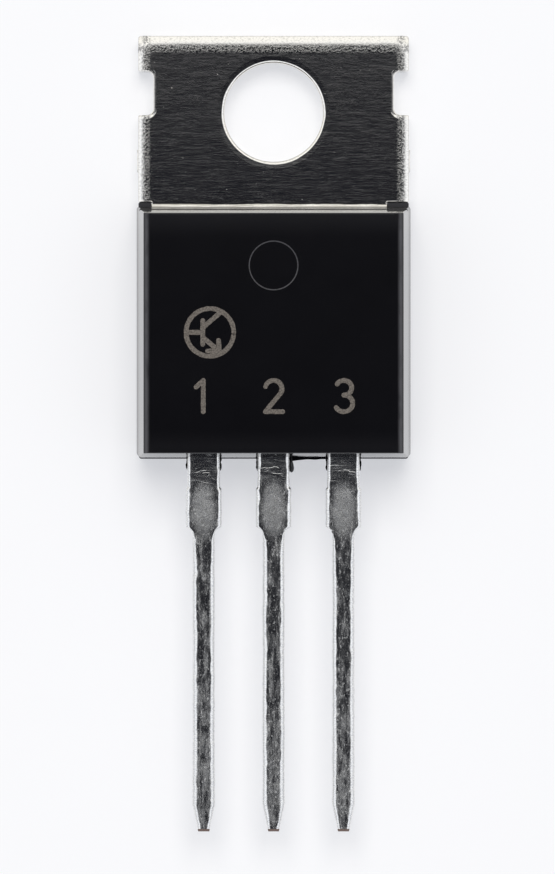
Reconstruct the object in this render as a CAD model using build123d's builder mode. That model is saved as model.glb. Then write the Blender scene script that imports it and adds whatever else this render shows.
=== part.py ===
from build123d import *

import math
import os

# An npn power transistor in a through-hole package with a bolt-down tab, in millimetres.
# It lies on its back. The origin is the centre of the screw hole on the back face,
# the leads point along -Y and the moulded front faces +Z.

# Heat-sink tab
tab_width = 9.90
tab_thickness = 1.30
tab_length = 6.25
hole_diameter = 3.60
hole_to_top = 2.80
hole_roll = 0.10
notch_depth = 0.55
notch_height = 1.60
notch_from_top = 1.30
notch_radius = 0.25
nib_length = 0.82
nib_proud = 0.04
nib_from_top = 4.17
top_roll_width = 0.45
top_roll_drop = 0.12
side_roll = 0.12

# Where the tab runs into the body: shoulders that the epoxy fills, and a coined groove
left_waist_share = 0.4842
right_waist_share = 0.1474
shoulder_rise = 0.16
shoulder_length = 0.90
ear_setback = 0.05
groove_width = 0.15
groove_depth = 0.06
groove_ahead = 0.10

# Moulded body
body_width = 10.00
body_length = 9.20
body_height = 4.50
body_draft = 5.5
parting_corner = 0.13
front_corner = 0.02
ejector_diameter = 1.76
ejector_depth = 0.05
ejector_from_wall = 2.21

# Flash that the mould leaves around the leads
flash_thickness = 0.055
flash_reach = 0.45
flash_height = 0.35
web_reach = 0.07
web_height = 0.20
nib_spot = 0.66
nib_reach = 0.34
nib_radius = 0.07

# Leads
lead_pitch = 2.54
lead_thickness = 0.50
lead_underside = 2.40
lead_length = 13.55
lead_width = 0.81
neck_width = 1.18
dam_width = 1.30
dam_start = 1.05
dam_step = 0.10
dam_end = 2.50
dam_shoulder = 0.17
tip_width = 0.44
tip_taper = 1.00
lead_roll = 0.15

# Die pad, the raised tongue that becomes the middle lead, and the bonding posts
pad_width = 8.00
pad_lock_depth = 0.35
pad_lock_height = 0.45
pad_to_end = 2.95
tongue_width = 1.50
tongue_run = 0.35
tongue_rise_run = 1.00
bend_radius = 0.40
post_gap = 0.65
post_wall = 1.25
post_length = 1.55
post_to_end = 1.05
post_corner = 0.20
lock_width = 0.78
lock_length = 0.40
lock_to_end = 0.35

# Die, its solder and the two combs of metal on it
die_size = 2.40
die_thickness = 0.28
die_to_pad_end = 2.55
solder_thickness = 0.06
solder_margin = 0.15
metal_thickness = 0.02
metal_margin = 0.12
finger_width = 0.12
finger_gap = 0.06
finger_pairs = 4
emitter_spine = 0.53
base_spine = 0.34
base_arm = 0.50

# Bond wires
emitter_wire = 0.30
base_wire = 0.20
foot_length = 0.55
foot_spread = 1.35
foot_squash = 0.55
loop_rise = 0.70
loop_lean = 0.40

# Places worked out from the sizes above
tab_top = hole_to_top
body_top = tab_top - tab_length
body_end = body_top - body_length
tab_shoulder = body_top + shoulder_rise
lead_front = lead_underside + lead_thickness
lead_tip = body_end - lead_length
pad_end = body_end + pad_to_end
post_inner = body_end + post_to_end + post_length
die_y = pad_end + die_to_pad_end
die_back = tab_thickness + solder_thickness
die_front = die_back + die_thickness
metal_front = die_front + metal_thickness
metal_half = die_size / 2 - metal_margin
slope = math.tan(math.radians(body_draft))


def plate_face():
    """Front view of the tab, its side notches, shoulders and waist."""
    half = tab_width / 2
    step = half - pad_width / 2
    waist_left = -pad_width / 2 - left_waist_share * step
    waist_right = pad_width / 2 + right_waist_share * step
    with BuildSketch() as face:
        with Locations((0, tab_top)):
            Rectangle(tab_width, tab_length - shoulder_rise, align=(Align.CENTER, Align.MAX))
        with Locations((waist_left, tab_shoulder)):
            Rectangle(waist_right - waist_left, shoulder_length, align=(Align.MIN, Align.MAX))
        with Locations(
            (-half, tab_top - notch_from_top - notch_height / 2),
            (half, tab_top - notch_from_top - notch_height / 2),
        ):
            RectangleRounded(2 * notch_depth, notch_height, notch_radius, mode=Mode.SUBTRACT)
    return face.sketch


def strip_face(inner_y):
    """Front view of one lead from inner_y, inside the body, out to its pointed tip."""
    dam_y = body_end - dam_start
    shoulder_y = body_end - dam_end
    with BuildSketch() as face:
        with BuildLine():
            Polyline(
                (0, inner_y),
                (neck_width / 2, inner_y),
                (neck_width / 2, dam_y),
                (dam_width / 2, dam_y - dam_step),
                (dam_width / 2, shoulder_y),
                (lead_width / 2, shoulder_y - dam_shoulder),
                (lead_width / 2, lead_tip + tip_taper),
                (tip_width / 2, lead_tip),
                (0, lead_tip),
            )
            mirror(about=Plane.YZ)
        make_face()
    return face.sketch


def front_edges(strip):
    """The edges of a strip's front face, but for the one inside the body."""
    return strip.faces().sort_by(Axis.Z)[-1].edges().sort_by(Axis.Y)[:-1]


def is_tab_front(face):
    """Whether a level face is the front of the tab."""
    return abs(face.center().Z - tab_thickness) < 0.01


def is_tab_side(edge):
    """Whether an edge runs along the front of one of the tab's outer sides."""
    centre = edge.center()
    at_side = abs(abs(centre.X) - tab_width / 2) < 0.01
    return at_side and abs(centre.Z - tab_thickness) < 0.01


def is_hole_rim(edge):
    """Whether a round edge belongs to the screw hole."""
    return abs(edge.radius - hole_diameter / 2) < 0.01


def make_tab_and_collector_lead():
    """Tab, die pad, raised tongue and middle lead, stamped from one two-gauge strip."""
    flat_start = pad_end - tongue_run - tongue_rise_run
    tongue_level = tab_thickness - lead_thickness / 2
    lead_level = lead_underside + lead_thickness / 2
    with BuildPart() as stamping:
        with BuildSketch(Plane.XY.offset(lead_underside)):
            add(strip_face(flat_start - bend_radius))
        extrude(amount=lead_thickness)
        fillet(front_edges(stamping), radius=min(lead_roll, tip_width / 3))

        with BuildSketch(Plane.YZ):
            with BuildLine():
                FilletPolyline(
                    (pad_end + lead_thickness, tongue_level),
                    (pad_end - tongue_run, tongue_level),
                    (flat_start, lead_level),
                    (flat_start - 2 * bend_radius, lead_level),
                    radius=bend_radius,
                )
            trace(line_width=lead_thickness)
        extrude(amount=tongue_width / 2, both=True)

        with BuildSketch():
            add(plate_face())
        extrude(amount=tab_thickness)
        front = stamping.faces().filter_by(Axis.Z).filter_by(is_tab_front).sort_by(Axis.Y)[-1]
        chamfer(
            front.edges().sort_by(Axis.Y)[-1],
            length=top_roll_width,
            length2=top_roll_drop,
            reference=front,
        )
        fillet(stamping.edges().filter_by(Axis.Y).filter_by(is_tab_side), radius=side_roll)

        # The sheared ends of the tie bars keep their full thickness
        with BuildSketch():
            with Locations((0, tab_top - nib_from_top)):
                Rectangle(tab_width + 2 * nib_proud, nib_length, align=(Align.CENTER, Align.MAX))
        extrude(amount=tab_thickness)
        with Locations((0, 0, tab_thickness)):
            Hole(hole_diameter / 2)
        rims = stamping.edges().filter_by(GeomType.CIRCLE).filter_by(is_hole_rim)
        fillet(rims.sort_by(Axis.Z)[-1], radius=hole_roll)

        with BuildSketch():
            with Locations((0, tab_shoulder - shoulder_length / 2)):
                Rectangle(
                    pad_width - 2 * pad_lock_depth,
                    tab_shoulder - shoulder_length / 2 - pad_end - pad_lock_depth,
                    align=(Align.CENTER, Align.MAX),
                )
        extrude(amount=pad_lock_height)
        with BuildSketch(Plane.XY.offset(pad_lock_height)):
            with Locations((0, tab_shoulder - shoulder_length / 2)):
                Rectangle(
                    pad_width,
                    tab_shoulder - shoulder_length / 2 - pad_end,
                    align=(Align.CENTER, Align.MAX),
                )
        extrude(amount=tab_thickness - pad_lock_height)

        with BuildSketch(Plane.YZ):
            with BuildLine():
                Polyline(
                    (body_top + groove_ahead, tab_thickness),
                    (body_top + groove_ahead - groove_width / 2, tab_thickness - groove_depth),
                    (body_top + groove_ahead - groove_width, tab_thickness),
                    close=True,
                )
            make_face()
        extrude(amount=tab_width, both=True, mode=Mode.SUBTRACT)
    return stamping.part


def make_side_lead(side):
    """A side lead: bonding post, lock notches, neck, dam-bar stub and pointed pin."""
    centre = side * lead_pitch
    inner = tongue_width / 2 + post_gap
    outer = body_width / 2 - post_wall
    lock_y = body_end + lock_to_end + lock_length / 2
    with BuildPart() as lead:
        with BuildSketch(Plane((centre, 0, lead_underside))):
            add(strip_face(body_end + post_to_end + post_corner))
        extrude(amount=lead_thickness)
        fillet(front_edges(lead), radius=min(lead_roll, tip_width / 3))

        with BuildSketch(Plane.XY.offset(lead_underside)):
            with Locations((side * (inner + outer) / 2, post_inner - post_length / 2)):
                RectangleRounded(outer - inner, post_length, post_corner)
        extrude(amount=lead_thickness)

        notch_width = (neck_width - lock_width) / 2
        with BuildSketch(Plane.XY.offset(lead_underside)):
            with Locations(
                (centre - neck_width / 2, lock_y),
                (centre + neck_width / 2, lock_y),
            ):
                Rectangle(2 * notch_width, lock_length)
        extrude(amount=lead_thickness, mode=Mode.SUBTRACT)
    return lead.part


def make_die_solder():
    """The solder that holds the die to the pad, squeezed out a little all round."""
    side = die_size + 2 * solder_margin
    with BuildPart() as solder:
        with BuildSketch(Plane((0, die_y, tab_thickness))):
            RectangleRounded(side, side, solder_margin)
        extrude(amount=solder_thickness)
    return solder.part


def make_transistor_die():
    """The silicon die. Its back is the collector."""
    with BuildPart() as die:
        with BuildSketch(Plane((0, die_y, die_back))):
            Rectangle(die_size, die_size)
        extrude(amount=die_thickness)
    return die.part


def finger_start():
    """Left edge of the field of fingers, beside the base arm."""
    return -metal_half + base_arm + finger_gap


def finger_field():
    """Height of the field of fingers, between the two spines."""
    return 2 * metal_half - emitter_spine - base_spine - finger_gap


def make_emitter_metal():
    """Emitter comb: a wide spine at the lead side, with fingers that point to the tab."""
    left = finger_start()
    pitch = 2 * (finger_width + finger_gap)
    with BuildPart() as comb:
        with BuildSketch(Plane((0, die_y, die_front))):
            with Locations((left, -metal_half)):
                Rectangle(metal_half - left, emitter_spine, align=(Align.MIN, Align.MIN))
            for finger in range(finger_pairs):
                with Locations((left + finger * pitch, -metal_half + emitter_spine)):
                    Rectangle(finger_width, finger_field(), align=(Align.MIN, Align.MIN))
        extrude(amount=metal_thickness)
    return comb.part


def make_base_metal():
    """Base comb: an arm for the wire, a spine at the tab side and fingers between the others."""
    left = finger_start() + finger_width + finger_gap
    pitch = 2 * (finger_width + finger_gap)
    with BuildPart() as comb:
        with BuildSketch(Plane((0, die_y, die_front))):
            with Locations((-metal_half, -metal_half)):
                Rectangle(base_arm, 2 * metal_half, align=(Align.MIN, Align.MIN))
            with Locations((-metal_half, metal_half)):
                Rectangle(2 * metal_half, base_spine, align=(Align.MIN, Align.MAX))
            for finger in range(finger_pairs):
                with Locations((left + finger * pitch, metal_half - base_spine)):
                    Rectangle(finger_width, finger_field(), align=(Align.MIN, Align.MAX))
        extrude(amount=metal_thickness)
    return comb.part


def make_bond_wire(start, end, diameter):
    """A round wire that loops between two squashed feet, all in one upright plane."""
    run = Vector(end[0] - start[0], end[1] - start[1], 0)
    span = run.length
    climb = end[2] - start[2]
    radius = diameter / 2
    heel = foot_length / 2
    with BuildPart() as wire:
        with BuildLine(Plane(start, x_dir=run, z_dir=run.cross(Vector(0, 0, 1)))) as path:
            FilletPolyline(
                (0, radius),
                (heel, radius),
                (heel + loop_lean * span, climb + loop_rise + radius),
                (span, climb + radius),
                radius=(diameter, 2 * diameter),
            )
        with BuildSketch(Plane(path.line @ 0, z_dir=path.line % 0)):
            Circle(radius)
        sweep()
        for foot in (start, end):
            with BuildSketch(Plane(foot, x_dir=run, z_dir=(0, 0, 1))):
                SlotOverall(foot_length, foot_spread * diameter)
            extrude(amount=foot_squash * diameter)
    return wire.part


def body_section(height, inset, corner):
    """One level section of the body, drawn in by the draft."""
    lead_end = body_end - (lead_underside - tab_thickness) * slope
    with BuildSketch(Plane((0, (body_top + lead_end) / 2, height))) as section:
        RectangleRounded(body_width - 2 * inset, body_top - lead_end - 2 * inset, corner)
    return section.sketch


def make_moulded_body(pieces):
    """The epoxy shot: drafted walls, ears at the tab, ejector mark and flash round the leads."""
    front_inset = (body_height - tab_thickness) * slope
    with BuildPart() as body:
        add(body_section(tab_thickness, 0, parting_corner))
        add(body_section(body_height, front_inset, front_corner))
        loft()
        add(body_section(0, tab_thickness * slope, parting_corner))
        add(body_section(tab_thickness, 0, parting_corner))
        loft()

        # Below the leads the end wall leans back towards the tab
        with BuildSketch(Plane.YZ):
            with BuildLine():
                Polyline(
                    (body_end, lead_underside),
                    (body_end + lead_underside * slope, 0),
                    (body_end - body_height, 0),
                    (body_end - body_height, lead_underside),
                    close=True,
                )
            make_face()
        extrude(amount=body_width, both=True, mode=Mode.SUBTRACT)

        # Ears: what the tab's shoulders leave open between its sides
        with BuildSketch():
            with Locations((0, tab_shoulder)):
                Rectangle(
                    tab_width - 2 * ear_setback,
                    shoulder_length,
                    align=(Align.CENTER, Align.MAX),
                )
        extrude(amount=tab_thickness)

        # Ejector-pin mark
        with BuildSketch(Plane((0, body_top - ejector_from_wall, body_height))):
            Circle(ejector_diameter / 2)
        extrude(amount=-ejector_depth, mode=Mode.SUBTRACT)

        # Flash along both sides of each lead
        with BuildSketch(Plane.XY.offset(lead_underside)):
            with Locations([(lead * lead_pitch, body_end + flash_reach) for lead in (-1, 0, 1)]):
                Rectangle(
                    neck_width + 2 * flash_thickness,
                    2 * flash_reach,
                    align=(Align.CENTER, Align.MAX),
                )
        extrude(amount=flash_height)

        # A thin web and a drop of flash between the middle and the right lead
        with BuildSketch(Plane.XY.offset(lead_underside)):
            with Locations((lead_pitch / 2, body_end + web_reach)):
                Rectangle(lead_pitch, 2 * web_reach, align=(Align.CENTER, Align.MAX))
        extrude(amount=web_height)
        with BuildSketch(Plane.XY.offset(lead_underside)):
            with BuildLine():
                Line((nib_spot - nib_radius, body_end), (nib_spot - nib_radius, body_end - nib_reach))
                ThreePointArc(
                    (nib_spot - nib_radius, body_end - nib_reach),
                    (nib_spot, body_end - nib_reach - nib_radius),
                    (nib_spot + nib_radius, body_end - nib_reach),
                )
                Polyline(
                    (nib_spot + nib_radius, body_end - nib_reach),
                    (nib_spot + nib_radius, body_end),
                    (nib_spot - nib_radius, body_end),
                )
            make_face()
        extrude(amount=flash_height)

        for piece in pieces:
            add(piece, mode=Mode.SUBTRACT)
    return body.part


# The pieces, each closed by itself and placed where it lies
base_bond = (-metal_half + base_arm / 2, die_y - metal_half + foot_length / 2, metal_front)
emitter_bond = (
    (finger_start() + metal_half) / 2,
    die_y - metal_half + emitter_spine / 2,
    metal_front,
)
post_bond_y = post_inner - post_length / 2
parts = {
    "tab_and_collector_lead": make_tab_and_collector_lead(),
    "base_lead": make_side_lead(-1),
    "emitter_lead": make_side_lead(1),
    "die_solder": make_die_solder(),
    "transistor_die": make_transistor_die(),
    "emitter_metal": make_emitter_metal(),
    "base_metal": make_base_metal(),
    "emitter_bond_wire": make_bond_wire(
        emitter_bond, (lead_pitch, post_bond_y, lead_front), emitter_wire
    ),
    "base_bond_wire": make_bond_wire(base_bond, (-lead_pitch, post_bond_y, lead_front), base_wire),
}
parts["moulded_body"] = make_moulded_body(list(parts.values()))

os.makedirs("parts", exist_ok=True)
for name, part in parts.items():
    part.label = name
    export_step(part, f"parts/{name}.step")
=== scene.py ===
"""The looks of an npn power transistor that lies on its back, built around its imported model."""

import logging
import math
from dataclasses import dataclass
from enum import Enum
from functools import reduce

import bmesh
import bpy
import numpy as np
from mathutils.geometry import delaunay_2d_cdt
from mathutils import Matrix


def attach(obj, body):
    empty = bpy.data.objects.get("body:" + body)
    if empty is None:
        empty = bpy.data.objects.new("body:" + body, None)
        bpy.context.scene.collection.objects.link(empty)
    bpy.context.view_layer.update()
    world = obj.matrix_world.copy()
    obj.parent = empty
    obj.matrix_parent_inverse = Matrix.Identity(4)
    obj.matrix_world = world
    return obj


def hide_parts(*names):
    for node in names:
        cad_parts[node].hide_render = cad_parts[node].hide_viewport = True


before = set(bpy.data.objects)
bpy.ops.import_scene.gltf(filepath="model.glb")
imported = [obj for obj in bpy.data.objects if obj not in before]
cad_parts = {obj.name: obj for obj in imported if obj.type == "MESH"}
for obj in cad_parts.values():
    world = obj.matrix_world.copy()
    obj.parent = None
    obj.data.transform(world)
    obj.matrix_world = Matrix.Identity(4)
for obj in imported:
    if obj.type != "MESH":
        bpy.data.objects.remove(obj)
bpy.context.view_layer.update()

LOG = logging.getLogger("transistor")
MM = 0.001
BODY = "root"
Points = np.ndarray
Piece = bpy.types.Object
Material = bpy.types.Material
Socket = bpy.types.NodeSocket
EASED = {"interpolation_type": "SMOOTHSTEP"}


def linear(colour: str) -> tuple[float, float, float, float]:
    """Turn a colour as people write it into the one that light adds up in.

    Args:
        colour: an sRGB colour such as "#1A2B3C".
    Returns:
        Its linear red, green and blue, and an alpha of 1.
    """
    parts = np.array([int(colour[i : i + 2], 16) for i in (1, 3, 5)]) / 255
    parts = np.where(parts <= 0.04045, parts / 12.92, ((parts + 0.055) / 1.055) ** 2.4)
    return (*parts.tolist(), 1.0)


def lattice_noise(x: Points, y: Points | float, size: float, seed: int) -> Points:
    """Smooth random heights from -1 to 1: a lattice of random values, eased between its points.

    Args:
        x: first coordinates, in millimetres.
        y: second coordinates, or one that all share.
        size: distance between lattice points, in millimetres.
        seed: which lattice.
    Returns:
        The height at each point.
    """
    cells = 256
    lattice = np.random.default_rng(seed).uniform(-1, 1, (cells, cells))
    across, along = x / size, y / size
    i, j = np.floor(across).astype(int), np.floor(along).astype(int)
    u, v = across - i, along - j
    u, v = u * u * (3 - 2 * u), v * v * (3 - 2 * v)
    i, j, next_i, next_j = i % cells, j % cells, (i + 1) % cells, (j + 1) % cells
    near = lattice[i, j] * (1 - u) + lattice[next_i, j] * u
    far = lattice[i, next_j] * (1 - u) + lattice[next_i, next_j] * u
    return near * (1 - v) + far * v


# Meshes


def lifted(flat: Points, height: Points | float) -> Points:
    """Flat points with one height, or each with its own."""
    return np.column_stack([flat, np.broadcast_to(height, len(flat))])


def tube_faces(rows: int, columns: int, first: int = 0) -> Points:
    """Quads between neighbouring rows of a closed tube.

    Args:
        rows: count of its rows.
        columns: count of points round each row.
        first: number of its first point. The rest follow row by row.
    Returns:
        Four point numbers for each quad.
    """
    i, j = np.meshgrid(np.arange(rows - 1) * columns, np.arange(columns), indexing="ij")
    after = (j + 1) % columns
    quads = np.stack([i + j, i + after, i + columns + after, i + columns + j], -1)
    return quads.reshape(-1, 4) + first


def closed_tube(rows: Points) -> tuple[Points, list]:
    """A tube through rows of points, with a flat cap at each end.

    Args:
        rows: points by row, column and axis. Columns run round the tube so that
            column direction crossed with row direction points outwards.
    Returns:
        Its points and its faces.
    """
    count, columns = rows.shape[:2]
    faces = tube_faces(count, columns).tolist()
    faces.append(list(range(columns))[::-1])
    faces.append(list(range((count - 1) * columns, count * columns)))
    return rows.reshape(-1, 3), faces


def bar(run: Points, axis: int, sides: tuple, levels: tuple) -> Points:
    """A four-sided bar that runs along X or Y.

    Args:
        run: where its rows stand along its axis.
        axis: 0 for X and 1 for Y.
        sides: places of its two upright sides, each one number or one for each row.
        levels: heights of its foot and its top, likewise.
    Returns:
        Its rows, each from the first side's foot to the second's and back along the top.
    """
    rows = np.zeros((len(run), 4, 3))
    for k, (side, level) in enumerate(((0, 0), (1, 0), (1, 1), (0, 1))):
        rows[:, k, axis], rows[:, k, 1 - axis], rows[:, k, 2] = run, sides[side], levels[level]
    return rows


def new_piece(name: str, points: Points, faces: list, sharp_above: float = 35.0) -> Piece:
    """Put a mesh, given in millimetres, into the scene.

    Args:
        name: the piece's name.
        points: its points.
        faces: its faces, each a list of point numbers.
        sharp_above: edges that turn by more degrees than this stay sharp.
    Returns:
        The new object, at the origin.
    """
    mesh = bpy.data.meshes.new(name)
    mesh.from_pydata((np.asarray(points) * MM).tolist(), [], faces)
    tidy_mesh(mesh, sharp_above)
    piece = bpy.data.objects.new(name, mesh)
    bpy.context.scene.collection.objects.link(piece)
    return piece


def tidy_mesh(mesh: bpy.types.Mesh, sharp_above: float) -> None:
    """Merge doubled points, drop flat slivers and shade the rest smooth.

    Args:
        mesh: the mesh.
        sharp_above: edges that turn by more degrees than this stay sharp.
    """
    work = bmesh.new()
    work.from_mesh(mesh)
    bmesh.ops.remove_doubles(work, verts=work.verts, dist=2e-7)
    bmesh.ops.dissolve_degenerate(work, edges=work.edges, dist=1e-7)
    work.to_mesh(mesh)
    work.free()
    mesh.shade_smooth()
    mesh.set_sharp_from_angle(angle=math.radians(sharp_above))


def keep_flat(mesh: bpy.types.Mesh, height: float) -> None:
    """Make the border of a level face sharp, so that the face shades dead flat.

    An edge is on the border if just one of its two sides is level, looks up and has its centre
    at that height.

    Args:
        mesh: the mesh.
        height: where the face lies, in millimetres.
    """
    normals = np.zeros(len(mesh.polygons) * 3)
    centres = np.zeros(len(mesh.polygons) * 3)
    totals = np.zeros(len(mesh.polygons), dtype=np.int32)
    loop_edges = np.zeros(len(mesh.loops), dtype=np.int32)
    mesh.polygons.foreach_get("normal", normals)
    mesh.polygons.foreach_get("center", centres)
    mesh.polygons.foreach_get("loop_total", totals)
    mesh.loops.foreach_get("edge_index", loop_edges)
    level = (normals[2::3] > 0.99999) & (np.abs(centres[2::3] - height * MM) < 2e-7)
    sides = np.bincount(loop_edges, weights=np.repeat(level, totals), minlength=len(mesh.edges))
    sharp = np.zeros(len(mesh.edges), dtype=bool)
    mesh.edges.foreach_get("use_edge_sharp", sharp)
    mesh.edges.foreach_set("use_edge_sharp", sharp | (sides == 1))


def combine(piece: Piece, other: Piece, operation: str, sharp_above: float = 35.0) -> None:
    """Unite a piece with another, or cut the other out of it, and drop the other.

    Args:
        piece: the piece that stays.
        other: the one that is used up.
        operation: UNION or DIFFERENCE.
        sharp_above: edges that turn by more degrees than this stay sharp.
    """
    modifier = piece.modifiers.new(operation.lower(), "BOOLEAN")
    modifier.operation = operation
    modifier.solver = "EXACT"
    modifier.object = other
    solved = piece.evaluated_get(bpy.context.evaluated_depsgraph_get())
    mesh = bpy.data.meshes.new_from_object(solved)
    piece.modifiers.clear()
    piece.data = mesh
    tidy_mesh(mesh, sharp_above)
    bpy.data.objects.remove(other)


def rounded_polygon(corners: Points, radii: Points | float, arc: int, spacing: Points | int) -> Points:
    """Points round a polygon whose corners are arcs that touch both of their sides.

    Each arc has its centre on the corner's bisector, one radius from both sides. Arc and side
    hold a fixed count of points, so polygons of one family match point for point.

    Args:
        corners: corner points, counter-clockwise.
        radii: radius of each corner's arc, or of all.
        arc: points on each arc.
        spacing: count of points on the side that follows each corner, or on every side.
    Returns:
        The points, one loop.
    """
    radii, spacing = np.broadcast_to(radii, len(corners)), np.broadcast_to(spacing, len(corners))
    back = corners - np.roll(corners, 1, 0)
    ahead = np.roll(corners, -1, 0) - corners
    back = back / np.linalg.norm(back, axis=1)[:, None]
    ahead = ahead / np.linalg.norm(ahead, axis=1)[:, None]
    turn = np.arctan2(back[:, 0] * ahead[:, 1] - back[:, 1] * ahead[:, 0], (back * ahead).sum(1))
    reach = radii * np.abs(np.tan(turn / 2))
    start = corners - back * reach[:, None]
    side = np.sign(turn)[:, None]
    centre = start + side * radii[:, None] * np.stack([-back[:, 1], back[:, 0]], 1)
    spoke = start - centre
    angle = turn[:, None] * np.linspace(0, 1, arc)
    cos, sin = np.cos(angle)[..., None], np.sin(angle)[..., None]
    normal = np.stack([-spoke[:, 1], spoke[:, 0]], 1)
    arcs = centre[:, None] + cos * spoke[:, None] + sin * normal[:, None]
    loop = []
    for k, count in enumerate(spacing):
        following = arcs[(k + 1) % len(arcs)][0]
        t = np.linspace(0, 1, int(count) + 2)[1:-1, None]
        loop += [arcs[k], arcs[k][-1] * (1 - t) + following * t]
    return np.concatenate(loop)


def inset_corners(corners: Points, insets: Points | float) -> Points:
    """Corners of the polygon whose sides lie inside the given ones by their own distances.

    Two neighbouring sides, each moved along its inward normal, meet at the new corner.

    Args:
        corners: corner points, counter-clockwise.
        insets: distance for the side that follows each corner, or for all sides.
    Returns:
        The new corner points.
    """
    ahead = np.roll(corners, -1, 0) - corners
    ahead /= np.linalg.norm(ahead, axis=1)[:, None]
    inward = np.stack([-ahead[:, 1], ahead[:, 0]], 1)
    level = (inward * corners).sum(1) + insets
    before, level_before = np.roll(inward, 1, 0), np.roll(level, 1)
    cross = before[:, 0] * inward[:, 1] - before[:, 1] * inward[:, 0]
    x = (level_before * inward[:, 1] - level * before[:, 1]) / cross
    y = (before[:, 0] * level - inward[:, 0] * level_before) / cross
    return np.stack([x, y], 1)


def flat_cap(loops: list[Points], height: float, up: bool) -> tuple[Points, list]:
    """Triangles that fill a flat outline at one height, but for a round hole about the origin.

    Args:
        loops: the outline, and the hole's loop.
        height: where the face lies.
        up: whether the face looks up.
    Returns:
        Its points and its faces.
    """
    edges = []
    first = 0
    for loop in loops:
        index = np.arange(len(loop)) + first
        edges += np.stack([index, np.roll(index, -1)], 1).tolist()
        first += len(loop)
    flat = [tuple(point) for point in np.concatenate(loops)]
    points, _, faces, *_ = delaunay_2d_cdt(flat, edges, [], 1, 1e-6)
    points = np.array([tuple(point) for point in points])
    faces = np.array([list(face) for face in faces])
    middle = points[faces].mean(1)
    angle, distance = np.arctan2(loops[1][:, 1], loops[1][:, 0]), np.hypot(*loops[1].T)
    order = np.argsort(angle)
    around = np.arctan2(middle[:, 1], middle[:, 0])
    edge = np.interp(around, angle[order], distance[order], period=2 * math.pi)
    faces = faces[np.hypot(middle[:, 0], middle[:, 1]) > edge - 1e-4]
    return lifted(points, height), (faces if up else faces[:, ::-1]).tolist()


# Materials


@dataclass(frozen=True)
class Grain:
    """A random pattern from 0 to 1, measured on the piece itself.

    Its cells are counted per millimetre along each axis. What is finer on the real part than the
    render can show is drawn as coarse as it needs to show.
    """

    cells: tuple[float, float, float]
    detail: float = 2.0
    roughness: float = 0.5
    distortion: float = 0.0


class Graph:
    """The node tree of a material or a world."""

    def __init__(self, owner: Material | bpy.types.World) -> None:
        """Switch the owner's nodes on and empty its tree.

        Args:
            owner: what the tree belongs to.
        """
        owner.use_nodes = True
        self.tree = owner.node_tree
        self.tree.nodes.clear()

    def add(
        self, kind: str, inputs: dict | tuple = (), out: str | int = 0, **settings: object
    ) -> Socket | None:
        """Add one node.

        Args:
            kind: the node's type, without the word that all types begin with.
            inputs: values, or the outputs that feed them, by input name or in the inputs' order.
            out: name or number of the output that is wanted.
            settings: the node's own properties.
        Returns:
            That output, or nothing from a node that has none.
        """
        node = self.tree.nodes.new(f"ShaderNode{kind}")
        for name, value in settings.items():
            setattr(node, name, value)
        named = inputs if isinstance(inputs, dict) else dict(enumerate(inputs))
        for key, value in named.items():
            if isinstance(value, Socket):
                self.tree.links.new(value, node.inputs[key])
            else:
                node.inputs[key].default_value = value
        return node.outputs[out] if node.outputs else None

    def product(self, *values: Socket | float) -> Socket:
        """All values multiplied with each other, so 1 where all are and 0 where any is."""
        return reduce(lambda left, right: self.add("Math", (left, right), operation="MULTIPLY"), values)

    def apart(self, value: Socket, place: float) -> Socket:
        """How far a value is from a place, either way."""
        past = self.add("Math", (value, place), operation="SUBTRACT")
        return self.add("Math", (past,), operation="ABSOLUTE")

    def band(self, value: Socket, start: float, full: float, fading: float, end: float) -> Socket:
        """1 while a value goes from full to fading, easing from 0 at start and to 0 at end."""
        rise = self.add("MapRange", (value, start, full), **EASED)
        return self.product(rise, self.add("MapRange", (value, end, fading), **EASED))

    def oval(self, x: Socket, y: Socket, centre_y: float, half: tuple[float, float]) -> Socket:
        """How far places lie from the middle of an oval: 0 there, 1 on its edge, and rising beyond.

        The squares of x / half width and of (y - centre) / half length are added up.

        Args:
            x, y: the places.
            centre_y: the oval's middle along Y. Along X it is at 0.
            half: half the oval's size along X and along Y.
        Returns:
            The sum.
        """
        along = self.add("Math", (y, centre_y), operation="SUBTRACT")
        squares = []
        for value, size in zip((x, along), half):
            part = self.add("Math", (value, size), operation="DIVIDE")
            squares.append(self.add("Math", (part, 2.0), operation="POWER"))
        return self.add("Math", tuple(squares), operation="ADD")

    def tint(self, base: str, *coats: tuple[Socket, str | Socket]) -> Socket | tuple:
        """A base colour under coats of others.

        Args:
            base: the lowest colour.
            coats: from the lowest up, the share that each covers and its colour.
        Returns:
            The colour that shows.
        """
        tint = linear(base)
        for share, colour in coats:
            over = linear(colour) if isinstance(colour, str) else colour
            inputs = {"Factor": share, "A": tint, "B": over}
            tint = self.add("Mix", inputs, "Result", data_type="RGBA")
        return tint

    def seen(self) -> Socket:
        """Tell the rays that show a surface from those that light another one.

        Returns:
            1 on rays from the camera, a gloss or a clear surface, and 0 on those from a matt one.
        """
        rays = self.add("LightPath").node.outputs
        mirrored = (rays["Is Glossy Ray"], rays["Is Transmission Ray"])
        mirrored = self.add("Math", mirrored, operation="MAXIMUM")
        return self.add("Math", (rays["Is Camera Ray"], mirrored), operation="MAXIMUM")


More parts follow.
